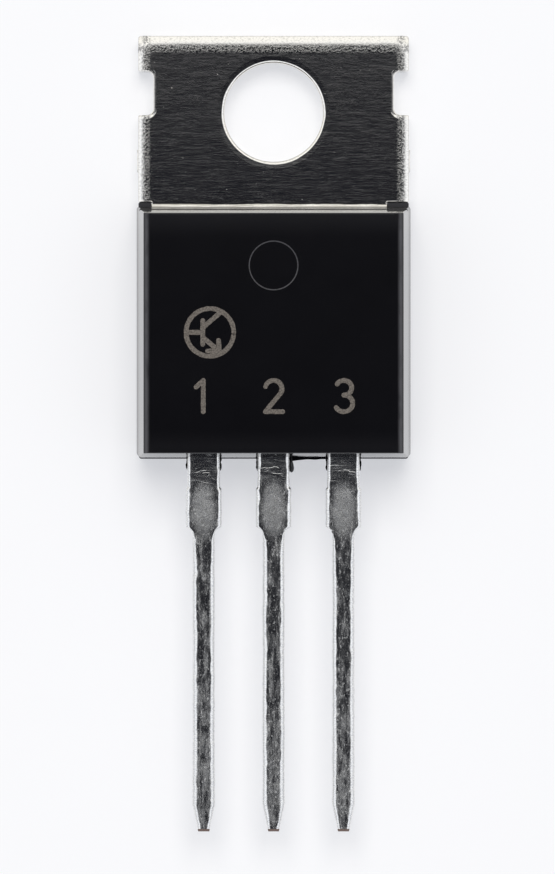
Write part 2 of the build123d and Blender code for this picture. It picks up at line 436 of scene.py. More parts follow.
class Finish(Graph):
    """A material in the making, with patterns measured in its piece's own millimetres."""

    def __init__(self, name: str) -> None:
        """Start the material with nothing but its coordinates.

        Args:
            name: the material's name.
        """
        self.material = bpy.data.materials.new(name)
        super().__init__(self.material)
        metres = self.add("TexCoord", out="Object")
        self.place = self.add("VectorMath", (metres, (1 / MM,) * 3), operation="MULTIPLY")
        self.x, self.y, self.z = self.add("SeparateXYZ", (self.place,)).node.outputs

    def pattern(self, grain: Grain) -> Socket:
        """Lay a random pattern over the piece.

        Args:
            grain: its cells and its detail.
        Returns:
            The pattern.
        """
        cells = self.add("VectorMath", (self.place, grain.cells), operation="MULTIPLY")
        inputs = {"Vector": cells, "Scale": 1.0, "Detail": grain.detail}
        return self.add("TexNoise", inputs | {"Roughness": grain.roughness, "Distortion": grain.distortion})

    def close(self, tint: Socket | tuple, gloss: Socket | float, metallic: float, *layers: tuple) -> Material:
        """Give the material its surface.

        Args:
            tint: its colour.
            gloss: its roughness.
            metallic: 1 for bare metal and 0 for none.
            layers: height patterns that bend the normal one after the other, each a pattern
                from 0 to 1 and its height in millimetres.
        Returns:
            The material.
        """
        surface = {"Base Color": tint, "Metallic": metallic, "Roughness": gloss}
        normal = {}
        for pattern, height in layers:
            bump = {"Strength": 1.0, "Distance": height * MM, "Height": pattern}
            normal = {"Normal": self.add("Bump", bump | normal)}
        self.add("OutputMaterial", (self.add("BsdfPrincipled", surface | normal),))
        return self.material


@dataclass(frozen=True)
class RolledPlating:
    """Matt tin over nickel on rolled copper strip, as on the tab.

    Rolling leaves short dark and pale streaks along X, deeper towards the body, and handling
    leaves shallow waves and a few bright pits. The borders that the punch drew down are mottled,
    and a film of epoxy dulls the groove in front of the body.
    """

    name: str = "tin_plated_rolled_copper"
    colour: str = "#F2F0EB"
    dull_colour: str = "#DAD8D3"
    film_colour: str = "#C4C1BA"
    mottled_colour: str = "#A2A19F"
    roughness: float = 0.07
    streak_roughness: float = 0.11
    streaks: Grain = Grain((2.0, 15.0, 15.0), 3.0, 0.62, 0.35)
    waves: Grain = Grain((1.6, 3.4, 3.4))
    peel: Grain = Grain((11.0, 17.0, 17.0), 3.0, 0.6)
    lines: Grain = Grain((1.0, 34.0, 34.0))
    pits: Grain = Grain((12.0, 14.0, 14.0), 1.0)
    mottle: Grain = Grain((13.0, 13.0, 13.0), 3.0, 0.65)
    wave_height: float = 0.0013
    peel_height: float = 0.0005
    streak_height: float = 0.0010
    pit_height: float = 0.0016
    mottle_height: float = 0.0012
    side_border: tuple[float, float, float, float] = (4.44, 4.60, 4.72, 4.88)
    top_border: tuple[float, float, float, float] = (2.10, 2.28, 2.40, 2.56)
    groove_top: float = -3.345
    groove_above: float = 1.15

    def build(self) -> Material:
        """Make the material.

        Returns:
            The finished material.
        """
        skin = Finish(self.name)
        streaks, waves, peel = (skin.pattern(grain) for grain in (self.streaks, self.waves, self.peel))
        pits = skin.add("MapRange", (skin.pattern(self.pits), 0.80, 0.86), **EASED)
        mottle = skin.add("MapRange", (skin.pattern(self.mottle), 0.42, 0.56), **EASED)
        beside = skin.band(skin.add("Math", (skin.x,), operation="ABSOLUTE"), *self.side_border)
        borders = (beside, skin.band(skin.y, *self.top_border))
        mottled = skin.product(skin.add("Math", borders, operation="MAXIMUM"), mottle)
        deep = skin.product(streaks, skin.add("MapRange", (skin.y, 1.6, -2.4, 0.55, 1.0), **EASED))
        filmed = skin.product(
            skin.add("MapRange", (skin.y, self.groove_top + 0.012, self.groove_top - 0.006), **EASED),
            skin.add("MapRange", (skin.z, self.groove_above, self.groove_above + 0.05), **EASED),
            skin.add("MapRange", (skin.pattern(self.lines), 0.60, 0.45, 0.2, 1.0), **EASED),
        )
        tint = skin.tint(
            self.colour,
            (skin.add("MapRange", (peel, 0.45, 0.75), **EASED), self.dull_colour),
            (mottled, self.mottled_colour),
            (filmed, self.film_colour),
        )
        gloss = (streaks, 0.35, 0.75, self.roughness, self.streak_roughness)
        return skin.close(
            tint,
            skin.add("MapRange", gloss, **EASED),
            1.0,
            (waves, self.wave_height),
            (peel, self.peel_height),
            (deep, self.streak_height),
            (pits, self.pit_height),
            (mottled, self.mottle_height),
        )


@dataclass(frozen=True)
class LeadPlating:
    """Tin plating on a lead that has been trimmed, tested and tumbled against others.

    The bright skin is scuffed along the lead, more so towards the tip, worn to an even grain in
    an oval where the dam bars were cut away, and wrinkled by the press close to the body.
    """

    name: str = "tin_plated_scuffed_leads"
    colour: str = "#F1F1EF"
    dull_colour: str = "#CFD0D3"
    roughness: float = 0.135
    scuffed_roughness: float = 0.27
    speck_roughness: float = 0.33
    lined_roughness: float = 0.07
    dents: Grain = Grain((2.6, 1.6, 2.6), 2.0, 0.55)
    scratches: Grain = Grain((24.0, 2.6, 24.0), 2.0, 0.6)
    grain: Grain = Grain((24.0, 22.0, 24.0), 2.0, 0.6)
    patches: Grain = Grain((5.5, 1.1, 5.5), 3.0, 0.55)
    flecks: Grain = Grain((17.0, 9.0, 17.0), 3.0, 0.65)
    lines: Grain = Grain((2.0, 26.0, 2.0), 2.0, 0.6)
    wrinkles: Grain = Grain((1.5, 4.2, 1.5), 1.0, 0.5, 1.3)
    pitch: float = 2.54
    dam_y: float = -14.50
    dam_half: tuple[float, float] = (0.42, 0.95)
    neck: tuple[float, float] = (-13.9, -13.0)
    lower: tuple[float, float] = (-16.0, -25.5)
    dent_height: float = 0.0022
    scratch_height: float = 0.0006
    grain_height: float = 0.0005
    worn_height: float = 0.0009
    wrinkle_height: float = 0.0020

    def build(self) -> Material:
        """Make the material.

        Returns:
            The finished material.
        """
        skin = Finish(self.name)
        known = (self.dents, self.scratches, self.grain, self.patches)
        dents, scratches, grain, patches = (skin.pattern(pattern) for pattern in known)
        lines = skin.add("MapRange", (skin.pattern(self.lines), 0.45, 0.7), **EASED)
        wrinkles = skin.add("MapRange", (skin.pattern(self.wrinkles), 0.58, 0.68), **EASED)
        near_body = skin.add("MapRange", (skin.y, *self.neck), **EASED)
        away = skin.add("Math", (1.0, near_body), operation="SUBTRACT")

        across = skin.add("Math", (skin.x, self.pitch / 2, -self.pitch / 2), operation="WRAP")
        far = skin.oval(across, skin.y, self.dam_y, self.dam_half)
        uneven = skin.add("Math", (patches, 1.2, -0.6), operation="MULTIPLY_ADD")
        dam = skin.product(
            skin.add("MapRange", (skin.add("Math", (far, uneven), operation="ADD"), 2.1, 0.2), **EASED),
            skin.add("MapRange", (grain, 0.30, 0.60, 0.62, 0.95), **EASED),
        )
        more = skin.add("MapRange", (skin.y, *self.lower, 0.0, 0.14), **EASED)
        patches = skin.add("Math", (patches, more), operation="ADD")
        loose = skin.product(
            skin.add("MapRange", (patches, 0.40, 0.66, 0.0, 0.80), **EASED),
            away,
            skin.add("MapRange", (scratches, 0.30, 0.60, 0.5, 1.0), **EASED),
        )
        worn = skin.add("Math", (loose, dam), operation="MAXIMUM")
        flecks = skin.add("Math", (dam, -0.04, skin.pattern(self.flecks)), operation="MULTIPLY_ADD")
        specks = skin.product(skin.add("MapRange", (flecks, 0.54, 0.74), **EASED), away)

        gloss = skin.add("MapRange", (worn, 0.0, 1.0, self.roughness, self.scuffed_roughness), **EASED)
        for share, rougher in (
            (specks, self.speck_roughness - self.roughness),
            (skin.product(lines, near_body), self.lined_roughness),
        ):
            gloss = skin.add("Math", (share, rougher, gloss), operation="MULTIPLY_ADD")
        return skin.close(
            skin.tint(self.colour, (skin.add("MapRange", (grain, 0.4, 0.7), **EASED), self.dull_colour)),
            gloss,
            1.0,
            (dents, self.dent_height),
            (scratches, self.scratch_height),
            (grain, self.grain_height),
            (skin.product(grain, worn), self.worn_height),
            (skin.product(wrinkles, near_body), self.wrinkle_height),
        )


@dataclass(frozen=True)
class CutCopper:
    """Bare copper where the lead was sheared off after plating, browned by air.

    The blade smears it into short dark and brown streaks.
    """

    name: str = "sheared_bare_copper"
    colour: str = "#7A5A4A"
    dark_colour: str = "#3A2A24"
    roughness: float = 0.42
    smear: Grain = Grain((18.0, 30.0, 4.0))

    def build(self) -> Material:
        """Make the material.

        Returns:
            The finished material.
        """
        skin = Finish(self.name)
        tint = skin.tint(self.dark_colour, (skin.pattern(self.smear), self.colour))
        return skin.close(tint, self.roughness, 1.0)


@dataclass(frozen=True)
class MouldedEpoxy:
    """Black epoxy moulding compound, filled with silica and pressed in a spark-eroded mould.

    The mould gives the front an even satin grain and draws the walls almost smooth, rougher near
    the parting. A painted sheen pales the two long front edges, both ends of the front and the rim
    of the ejector mark. The two ears beside the tab are a matt dark grey.
    """

    name: str = "moulded_black_epoxy"
    colour: str = "#08080B"
    cloudy_colour: str = "#0E0E12"
    ear_colour: str = "#26262A"
    # Colour of the painted sheen on the front's long edges, its ends and the ejector mark's rim
    painted_sheen_colour: str = "#47474B"
    front_roughness: float = 0.14
    wall_roughness: float = 0.09
    parting_roughness: float = 0.24
    ear_roughness: float = 0.30
    grain: Grain = Grain((18.0, 18.0, 18.0), 2.0, 0.6)
    clouds: Grain = Grain((0.45, 0.45, 0.45), 5.0, 0.62)
    # Breaks up the painted sheen along the long front edges
    sheen_breakup: Grain = Grain((3.5, 1.2, 3.5), 3.0, 0.6)
    front: float = 4.5
    # Where the painted sheen lies along the long front edges, and its half width
    sheen_edge_x: float = 4.58
    sheen_edge_half: float = 0.12
    # How the painted sheen round the ejector mark's rim fades, in millimetres off the rim
    rim: tuple[float, float] = (0.032, 0.010)
    side_parting: float = 1.3
    parting_reach: float = 1.6
    wall_y: float = -3.46
    end_y: float = -12.65
    # How pale the painted sheen makes the front at its lead end and at its tab end
    end_share: float = 0.07
    wall_share: float = 0.11
    ejector_radius: float = 0.88
    ejector_y: float = -5.66
    grain_height: float = 0.0007

    def painted_sheen(self, skin: Finish, grain: Socket) -> Socket:
        """Where a painted sheen pales the front: along its edges, at its ends and on the mark's rim.

        Args:
            skin: the material.
            grain: the pattern that breaks the rim up.
        Returns:
            How far each place is paled, from 0 to 1.
        """
        # Painted sheen: pale colour standing in for light caught by the rounded long edges, the ends of the
        # front and the ejector mark's rim
        near_front = skin.add("MapRange", (skin.z, self.front - 0.12, self.front - 0.05), **EASED)
        off_edge = skin.apart(skin.add("Math", (skin.x,), operation="ABSOLUTE"), self.sheen_edge_x)
        edges = skin.product(
            skin.add("MapRange", (off_edge, self.sheen_edge_half, 0.0), **EASED),
            near_front,
            skin.add("MapRange", (skin.pattern(self.sheen_breakup), 0.25, 0.6, 0.45, 1.0), **EASED),
        )
        centre = (0.0, self.ejector_y, self.front)
        from_centre = skin.add("VectorMath", (skin.place, centre), "Value", operation="DISTANCE")
        rim = skin.product(
            skin.add("MapRange", (skin.apart(from_centre, self.ejector_radius), *self.rim), **EASED),
            near_front,
            skin.add("MapRange", (grain, 0.30, 0.55, 0.45, 1.0), **EASED),
        )
        ends = []
        for wall, first, full, share in (
            (self.end_y, 1.1, 0.3, self.end_share),
            (self.wall_y, -1.3, -0.3, self.wall_share),
        ):
            ends.append(skin.add("MapRange", (skin.y, wall + first, wall + full, 0.0, share), **EASED))
        both_ends = skin.product(skin.add("Math", tuple(ends), operation="ADD"), near_front)
        edges_and_rim = skin.add("Math", (edges, rim), operation="MAXIMUM")
        return skin.add("Math", (edges_and_rim, both_ends), operation="MAXIMUM")

    def build(self) -> Material:
        """Make the material.

        Returns:
            The finished material.
        """
        skin = Finish(self.name)
        grain = skin.pattern(self.grain)
        satin = (self.front - 0.10, self.front - 0.04, self.wall_roughness, self.front_roughness)
        gloss = skin.add("MapRange", (skin.z, *satin), **EASED)
        parting = (skin.z, self.side_parting + self.parting_reach, self.side_parting)
        ears = skin.add("MapRange", (skin.y, self.wall_y, self.wall_y + 0.015), **EASED)
        for share, rough in (
            (skin.add("MapRange", parting, **EASED), self.parting_roughness),
            (ears, self.ear_roughness),
        ):
            gloss = skin.add("Math", (share, rough - self.wall_roughness, gloss), operation="MULTIPLY_ADD")
        tint = skin.tint(
            self.colour,
            (skin.pattern(self.clouds), self.cloudy_colour),
            # Painted sheen on the front's edges, ends and ejector rim
            (self.painted_sheen(skin, grain), self.painted_sheen_colour),
            (ears, self.ear_colour),
        )
        return skin.close(tint, gloss, 0.0, (grain, self.grain_height))


@dataclass(frozen=True)
class LaserMark:
    """Epoxy scorched pale and rough by a marking laser, grainy along each stroke."""

    name: str = "laser_scorched_epoxy"
    colour: str = "#77716B"
    dark_colour: str = "#4A4642"
    roughness: float = 0.8
    grain_size: float = 0.06

    def build(self) -> Material:
        """Make the material.

        Returns:
            The finished material.
        """
        skin = Finish(self.name)
        grain = skin.pattern(Grain((1 / self.grain_size,) * 3))
        tint = skin.tint(self.dark_colour, (skin.add("MapRange", (grain, 0.35, 0.62)), self.colour))
        return skin.close(tint, self.roughness, 0.0)


@dataclass(frozen=True)
class SealedFinish:
    """A plain grained finish for a piece that is sealed inside the epoxy."""

    name: str
    colour: str
    metallic: float
    roughness: float
    grain_size: float
    grain_height: float = 0.001

    def build(self) -> Material:
        """Make the material.

        Returns:
            The finished material.
        """
        skin = Finish(self.name)
        grain = skin.pattern(Grain((1 / self.grain_size,) * 3))
        layer = (grain, self.grain_height)
        return skin.close(skin.tint(self.colour), self.roughness, self.metallic, layer)


# The stamped metal


@dataclass(frozen=True)
class Roll:
    """How far the punch drew one side of the stamping down, fading over a width into the level face."""

    width: float
    drop: float
    power: float

    def fallen(self, distance: Points) -> Points:
        """drop * (1 - distance / width) ** power, and nothing beyond the width."""
        return self.drop * np.clip(1 - np.maximum(distance, 0) / self.width, 0, 1) ** self.power


@dataclass
class Tab:
    """The tab, its waist and the die pad: one thick stamping with a screw hole."""

    width: float = 9.90
    top: float = 2.80
    thickness: float = 1.30
    hole_radius: float = 1.80
    notch_depth: float = 0.55
    notch_top: float = 1.50
    notch_foot: float = -0.10
    notch_radius: float = 0.25
    shoulder: float = -3.29
    waist_left: float = -4.46
    waist_right: float = 4.14
    waist_end: float = -4.19
    pad_half: float = 4.00
    pad_end: float = -9.70
    # At the tab's top, at its shoulder, at notches, pad and waist, and at the waist's right end
    corner_radii: tuple[float, float, float, float] = (0.10, 0.06, 0.05, 0.03)
    top_roll: Roll = Roll(0.70, 0.054, 5.0)
    side_roll: Roll = Roll(0.47, 0.047, 2.4)
    corner_roll: Roll = Roll(1.05, 0.030, 3.0)
    notch_roll: Roll = Roll(0.14, 0.010, 2.0)
    shoulder_roll: Roll = Roll(0.06, -0.006, 1.6)
    edge_round: float = 0.05
    back_edge: float = 0.03
    spacing: float = 0.08
    rim_roll: tuple[float, float] = (0.11, 0.09)
    dish: tuple[float, float] = (0.26, 0.0019)
    step_width: float = 0.35
    step_height: float = 0.45
    groove_depth: float = 0.030
    groove_top: float = -3.345
    groove_foot: float = -3.475
    nib_top: float = -1.37
    nib_foot: float = -2.19
    nib_proud: float = 0.038
    nib_depth: float = 0.35
    nib_edge: float = 0.012
    overcut: float = 0.2
    sharp_above: float = 14.0

    def corners(self) -> tuple[Points, Points, Points]:
        """The stamping's outline.

        Returns:
            Its corners, their radii, and how wide the roll is on the side after each corner.
        """
        half, pad, end, shoulder = self.width / 2, self.pad_half, self.waist_end, self.shoulder
        wall, up, down = half - self.notch_depth, self.notch_top, self.notch_foot
        large, eased, small, tight = self.corner_radii
        side, notch, lip = self.side_roll.width, self.notch_roll.width, self.shoulder_roll.width
        plain = self.edge_round * 1.2
        table = (
            (half, shoulder, eased, side),
            (half, down, small, notch),
            (wall, down, self.notch_radius, notch),
            (wall, up, self.notch_radius, notch),
            (half, up, small, side),
            (half, self.top, large, self.top_roll.width),
            (-half, self.top, large, side),
            (-half, up, small, notch),
            (-wall, up, self.notch_radius, notch),
            (-wall, down, self.notch_radius, notch),
            (-half, down, small, side),
            (-half, shoulder, eased, lip),
            (self.waist_left, shoulder, small, lip),
            (self.waist_left, end, small, plain),
            (-pad, end, small, plain),
            (-pad, self.pad_end, small, plain),
            (pad, self.pad_end, small, plain),
            (pad, end, tight, plain),
            (self.waist_right, end, tight, lip),
            (self.waist_right, shoulder, small, lip),
        )
        x, y, radii, rolls = np.array(table).T
        return np.column_stack([x, y]), radii, rolls

    def level(self, x: Points, y: Points) -> Points:
        """Height of the upper face: the thickness less what the rolls of all near sides take.

        Args:
            x, y: places on the stamping.
        Returns:
            The heights there.
        """
        half = self.width / 2
        side = np.abs(x)
        beside = np.maximum(half - self.notch_depth - side, 0)
        beyond = np.maximum(np.maximum(y - self.notch_top, self.notch_foot - y), 0)
        waist = np.where(x < 0, -self.waist_left, self.waist_right)
        under = np.hypot(np.maximum(waist - side, 0), np.maximum(y - self.shoulder, 0))
        fallen = self.top_roll.fallen(self.top - y) + self.side_roll.fallen(half - side)
        fallen += self.corner_roll.fallen(np.hypot(self.top - y, half - side))
        fallen += np.where(y < self.notch_top, self.notch_roll.fallen(np.hypot(beside, beyond)), 0)
        fallen += self.shoulder_roll.fallen(under)
        return self.thickness - fallen * (1 + 0.10 * lattice_noise(x, y, 0.5, 3))

    def outer_rows(self) -> Points:
        """Loops of the outline from the back up its sides, round the edge and in across the rolls.

        The edge is most of a quarter of a circle. Beyond it the loops go in to the rolls' widths,
        closest together at the edge, and their heights follow the level's formula.

        Returns:
            The loops, from the back's edge to the edge of the level face.
        """
        corners, radii, widths = self.corners()
        ahead = np.roll(corners, -1, 0) - corners
        back = corners - np.roll(corners, 1, 0)
        convex = np.sign(back[:, 0] * ahead[:, 1] - back[:, 1] * ahead[:, 0])
        counts = np.maximum(2, (np.linalg.norm(ahead, axis=1) / self.spacing).astype(int))
        turn = np.radians(np.linspace(0, 78, 7))
        tail = np.linspace(0, 1, 15)[1:] ** 1.4
        edge_inset = self.edge_round * (1 - np.cos(turn))
        across_rolls = edge_inset[-1] + (widths - edge_inset[-1]) * tail[:, None]
        lower = [(self.back_edge, 0.0), (0.0, self.back_edge), (0.0, self.thickness * 0.5)]
        insets = [inset for inset, _ in lower] + edge_inset.tolist()
        insets = [np.full(len(corners), inset) for inset in insets] + list(across_rolls)
        drops = np.concatenate([self.edge_round * (1 - np.sin(turn)), np.zeros(len(tail))])
        rows = []
        for k, inset in enumerate(insets):
            mean = (inset + np.roll(inset, 1)) / 2
            arcs = np.maximum(radii - mean * convex, 0.004)
            flat = rounded_polygon(inset_corners(corners, inset), arcs, 10, counts)
            upper = k >= len(lower)
            height = self.level(*flat.T) - drops[k - len(lower)] if upper else lower[k][1]
            rows.append(lifted(flat, height))
        rows[-1][:, 2] = self.thickness
        return np.array(rows)

    def hole_rows(self) -> Points:
        """Loops up the hole's wall, round its drawn-in rim and out across a shallow dish.

        The rim is a quarter of an ellipse, in rows whose slope falls with the square of their
        number. Smooth noise makes it a little uneven.

        Returns:
            The loops, from the back's edge to the edge of the level face.
        """
        angle = np.linspace(0, -2 * math.pi, 128, endpoint=False)
        wobble = 1 + 0.15 * lattice_noise(angle + 9, 0.0, 0.25, 6)
        slopes = np.radians(90 * (1 - np.linspace(0, 1, 15)) ** 2)
        width, depth = self.rim_roll
        dish_width, dish_depth = self.dish
        turn = np.arctan2(depth, width * np.tan(np.minimum(slopes, 1.5707)))
        radii = self.hole_radius + width * (1 - np.cos(turn))
        heights = self.thickness - dish_depth - depth * (1 - np.sin(turn))
        profile = [
            (self.hole_radius + self.back_edge, 0.0),
            (self.hole_radius, self.back_edge),
            (self.hole_radius, 0.6),
            *zip(radii, heights),
            (self.hole_radius + dish_width, self.thickness),
        ]
        rows = []
        for radius, height in profile:
            uneven = wobble if radius < radii[-1] else np.ones_like(angle)
            real = self.hole_radius + (radius - self.hole_radius) * uneven
            rows.append(lifted(np.column_stack([real * np.cos(angle), real * np.sin(angle)]), height))
        return np.array(rows)

    def plate(self) -> Piece:
        """Join the sides and the hole's wall by the level faces between them.

        Returns:
            The thick stamping.
        """
        points, faces = np.zeros((0, 3)), []
        outer, wall = self.outer_rows(), self.hole_rows()
        for rows in (outer, wall):
            faces += tube_faces(*rows.shape[:2], len(points)).tolist()
            points = np.concatenate([points, rows.reshape(-1, 3)])
        for row, level, up in ((-1, self.thickness, True), (0, 0.0, False)):
            cap, cap_faces = flat_cap([outer[row][:, :2], wall[row][:, :2]], level, up)
            faces += (np.array(cap_faces) + len(points)).tolist()
            points = np.concatenate([points, cap])
        return new_piece("tab_and_collector_lead_plated", points, faces, self.sharp_above)

    def groove(self) -> Piece:
        """A wedge carried along X for the groove in front of the body.

        The groove drops almost straight down and rises again towards the body in a shallow ramp.
        Smooth noise along X shifts it and changes its depth a little.

        Returns:
            The cutter.
        """
        reach, over = self.width / 2 + self.overcut, 0.05
        x = np.linspace(-reach, reach, 260)
        shift = 0.014 * lattice_noise(x, 3.0, 0.7, 9) + 0.006 * lattice_noise(x, 0.0, 0.2, 10)
        depth = self.groove_depth * (1 + 0.20 * lattice_noise(x, 0.0, 0.5, 8))
        rise = self.groove_depth / (self.groove_top - self.groove_foot)
        section = (
            (self.groove_foot - over / rise, self.thickness + over),
            (self.groove_top - 0.006 + shift, self.thickness - depth),
            (self.groove_top + 0.004 + shift, self.thickness + over),
        )
        rows = np.zeros((len(x), len(section), 3))
        for k, (y, z) in enumerate(section):
            rows[:, k, 0], rows[:, k, 1], rows[:, k, 2] = x, y, z
        return new_piece("groove_cutter", *closed_tube(rows))

    def lock_step(self) -> Piece:
        """A flat U for the coined step round the pad's back, which the epoxy grips.

        It is as deep as the step is high, and its inner side lies the step's width inside the pad.

        Returns:
            The cutter.
        """
        inner, outer = self.pad_half - self.step_width, self.pad_half + self.overcut
        end, foot = self.pad_end + self.step_width, self.pad_end - self.overcut
        top = self.waist_end - 0.012
        right = [(outer, foot), (outer, top), (inner, top), (inner, end)]
        flat = np.array(right + [(-x, y) for x, y in right[::-1]])
        rows = [lifted(flat, z) for z in (-0.1, self.step_height)]
        return new_piece("lock_step_cutter", *closed_tube(np.array(rows)))

    def nibs(self) -> Piece:
        """Round off the two sheared ends of the tie bars, one on each side of the tab.

        Returns:
            One mesh with the right one and its mirror image.
        """
        outer, edge = self.width / 2 + self.nib_proud, self.nib_edge
        inner, foot, top = outer - self.nib_depth, self.nib_foot, self.nib_top
        corners = np.array([(outer, foot), (outer, top), (inner, top), (inner, foot)])
        profile = (
            (edge, 0.004),
            (0, self.back_edge),
            (0, self.thickness - 0.12),
            (edge * 4, self.thickness - 0.07),
        )
        loops = [
            lifted(rounded_polygon(inset_corners(corners, inset), 0.02, 4, 4), z) for inset, z in profile
        ]
        right = np.array(loops)
        points, faces = closed_tube(right)
        more, more_faces = closed_tube((right * (-1, 1, 1))[:, ::-1])
        shifted = [[i + len(points) for i in face] for face in more_faces]
        return new_piece("tie_bar_nibs", np.concatenate([points, more]), faces + shifted)


class LeadPart(Enum):
    """Which lead of the three."""

    BASE = -1
    COLLECTOR = 0
    EMITTER = 1


@dataclass
class Lead:
    """One flat lead: a section with rolled front edges carried from inside the body to the tip."""

    part: LeadPart
    pitch: float = 2.54
    body_end: float = -12.65
    length: float = 13.55
    back: float = 2.40
    thickness: float = 0.50
    cut_length: float = 0.10
    cut_slope: float = 0.26
    back_edge: float = 0.03
    wall: float = 0.20
    pad_level: float = 1.05
    tongue: tuple[float, float, float] = (-9.2, -9.9, -12.0)
    post_sides: tuple[float, float] = (1.40, 3.75)
    post_ends: tuple[float, float] = (1.05, 2.60)
    neck_sides: tuple[float, float] = (1.96, 3.12)
    neck_reach: tuple[float, float] = (0.9, 0.4)
    front_sunk: float = 0.004
    # Distance from the body, half width of the metal, half width of its flat front
    stations: tuple[tuple[float, float, float], ...] = (
        (-3.00, 0.580, 0.46),
        (0.00, 0.585, 0.46),
        (1.04, 0.600, 0.47),
        (1.10, 0.648, 0.49),
        (1.16, 0.652, 0.50),
        (2.44, 0.650, 0.50),
        (2.50, 0.640, 0.48),
        (2.55, 0.530, 0.44),
        (2.60, 0.470, 0.41),
        (2.68, 0.430, 0.375),
        (2.80, 0.415, 0.33),
        (3.00, 0.407, 0.285),
        (3.30, 0.405, 0.25),
        (4.00, 0.405, 0.225),
        (12.50, 0.405, 0.22),
        (12.60, 0.398, 0.215),
        (13.45, 0.222, 0.11),
        (13.55, 0.205, 0.10),
    )
    # Distance from the body, depth of the rolled front edges
    edge_depths: tuple[tuple[float, float], ...] = (
        (0.0, 0.13),
        (2.4, 0.13),
        (2.7, 0.15),
        (13.0, 0.15),
        (13.45, 0.10),
    )

    def path(self) -> tuple[Points, Points, Points]:
        """Where the lead runs.

        Returns:
            Distance from the body of each row, and the row's centre along Y and Z.
        """
        cut = self.length - self.cut_length
        tail = np.concatenate(
            [
                np.arange(-0.6, cut, 0.035),
                cut + np.array([-0.004, 0.0, 0.004]),
                np.linspace(0.02, self.cut_length, 5) + self.length - self.cut_length,
            ]
        )
        middle = self.back + self.thickness / 2
        y, z = self.body_end - tail, np.full(len(tail), middle)
        if self.part is LeadPart.COLLECTOR:
            # The raised tongue: up from the pad by a smooth step
            t = np.linspace(0, 1, 40, endpoint=False)
            rise = t * t * (3 - 2 * t)
            tongue_y = np.interp(t, (0, 0.25, 1), self.tongue)
            tongue_z = self.pad_level + (middle - self.pad_level) * np.clip((rise - 0.1) / 0.75, 0, 1)
            tail = np.concatenate([self.body_end - tongue_y, tail])
            y, z = np.concatenate([tongue_y, y]), np.concatenate([tongue_z, z])
        return tail, y, z

    def build(self) -> Piece:
        """Carry the lead's section along its path.

        The section is a flat back, two upright sides and a front whose edges are quarters of an
        ellipse. Smooth random heights dent the front and notch its edges. Beyond the cut the front
        falls by the cut's slope.

        Returns:
            The lead.
        """
        distance, y, z = self.path()
        known, outer, flat = np.array(self.stations).T
        half = np.interp(distance, known, outer)[:, None]
        face = np.interp(distance, known, flat)[:, None]
        depth = np.interp(distance, *np.array(self.edge_depths).T)[:, None]
        seed = 20 + 10 * self.part.value
        ragged = 0.010 * lattice_noise(distance, 0.0, 0.5, seed)
        ragged += 0.006 * lattice_noise(distance, 0.0, 0.13, seed + 1)
        faces_x = []
        for row in (5.0, 9.0):
            uneven = 0.030 * lattice_noise(distance, row, 0.45, seed + 2)
            uneven += 0.018 * lattice_noise(distance, row, 0.14, seed + 3)
            faces_x.append(face + uneven[:, None])
        right_face, left_face = faces_x
        quarter = np.linspace(0, 1, 9) * math.pi / 2
        right_x = half - (half - right_face) * (1 - np.cos(quarter))
        left_x = half - (half - left_face) * (1 - np.cos(quarter))
        top = self.thickness / 2
        front_z = top - depth * (1 - np.sin(quarter))
        inner = np.linspace(1, -1, 13)[1:-1]
        middle = np.where(inner > 0, right_face, left_face) * inner
        section = (
            (-half + self.back_edge, -top),
            (half - self.back_edge, -top),
            (half, self.back_edge - top),
            (half, self.wall - top),
            (right_x, front_z),
            (middle, top),
            (-left_x[:, ::-1], front_z[:, ::-1]),
            (-half, self.wall - top),
            (-half, self.back_edge - top),
        )
        columns = [np.stack(np.broadcast_arrays(*part)) for part in section]
        columns_x, columns_z = np.concatenate(columns, 2)
        columns_x = columns_x + np.sign(columns_x) * ragged[:, None] * (np.abs(columns_x) > face)
        grid_y = np.broadcast_to(y[:, None], columns_x.shape)
        dent = 0.0035 * lattice_noise(columns_x, grid_y, 0.55, seed + 4)
        dent += 0.0016 * lattice_noise(columns_x, grid_y, 0.2, seed + 5)
        columns_z = columns_z + np.where(columns_z > top - 0.16, dent - self.front_sunk, 0)
        cut = np.clip((distance - (self.length - self.cut_length)) / self.cut_length, 0, 1)[:, None]
        columns_z = np.where(columns_z > 0, np.minimum(columns_z, top - self.cut_slope * cut), columns_z)
        direction = np.stack([np.gradient(y), np.gradient(z)])
        along_y, along_z = direction / np.hypot(*direction)
        rows = np.stack(
            [
                columns_x + self.part.value * self.pitch,
                y[:, None] + columns_z * along_z[:, None],
                z[:, None] - columns_z * along_y[:, None],
            ],
            -1,
        )
        return new_piece(f"{self.part.name.lower()}_lead_plated", *closed_tube(rows), 50.0)

    def post(self) -> Piece:
        """A rounded plate at the lead's inner end, and the neck that joins it to the lead.

        Returns:
            The bonding post.
        """
        foot, top = (self.body_end + end for end in self.post_ends)
        neck_ends = (foot - self.neck_reach[0], foot + self.neck_reach[1])
        plates = []
        for (inner, outer), (low, high), radius in (
            (self.post_sides, (foot, top), 0.2),
            (self.neck_sides, neck_ends, 0.02),
        ):
            corners = np.array([(outer, low), (outer, high), (inner, high), (inner, low)])
            flat = rounded_polygon(corners, radius, 6, 3)
            if self.part is LeadPart.BASE:
                flat = flat[::-1] * (-1, 1)
            rows = [lifted(flat, z) for z in (self.back, self.back + self.thickness)]
            plates.append(new_piece("post", *closed_tube(np.array(rows))))
        plate, neck = plates
        combine(plate, neck, "UNION")
        return plate


def paint_cut_ends(piece: Piece, cut_y: float, copper: Material) -> None:
    """Give the sheared end of a lead its bare copper.

    Args:
        piece: the lead's object, whose plating is its first material.
        cut_y: where the cut begins, in millimetres.
        copper: the material of the cut.
    """
    piece.data.materials.append(copper)
    centres = np.zeros(len(piece.data.polygons) * 3)
    piece.data.polygons.foreach_get("center", centres)
    beyond = centres[1::3] / MM < cut_y
    piece.data.polygons.foreach_set("material_index", beyond.astype(np.int32))


# The moulded body


